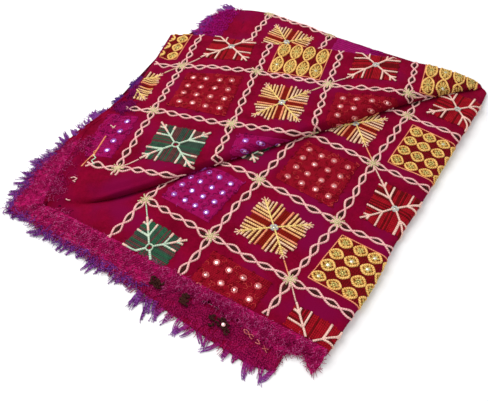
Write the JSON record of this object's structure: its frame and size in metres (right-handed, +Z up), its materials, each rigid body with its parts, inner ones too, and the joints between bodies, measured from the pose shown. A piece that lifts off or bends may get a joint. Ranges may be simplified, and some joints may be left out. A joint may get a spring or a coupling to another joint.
{
  "type": "embroidered dupatta, folded",
  "caption": "Embroidered dupatta folded lengthwise and laid down in a turn, with a mirror-work lattice, a plain border and frayed fringes.",
  "frame": {"origin": "a point on the flat underside, under the middle of the folded stack", "axes": "+Z up from the surface it lies on; the fringed front end faces -X and -Y, and the tip where the cloth turns back points to +X"},
  "size_m": [0.7292, 0.7352, 0.0346],
  "materials": {
    "embroidered_cloth": "maroon crepe under dense satin stitch, chain lines and small mirrors",
    "plain_cloth": "soft maroon crepe with a low sheen",
    "fringe_yarn": "frayed magenta and purple yarn, dark at the tips"
  },
  "bodies": {
    "root": {"hidden_layers": "plain_cloth", "front_wing": "embroidered_cloth", "upper_wing": "embroidered_cloth", "plain_border": "plain_cloth", "back_layer": "embroidered_cloth", "under_layer": "plain_cloth", "front_fringe": "fringe_yarn", "under_fringe": "fringe_yarn", "side_fringe": "fringe_yarn", "end_fringe": "fringe_yarn", "back_fringe": "fringe_yarn"}
  },
  "joints": []
}
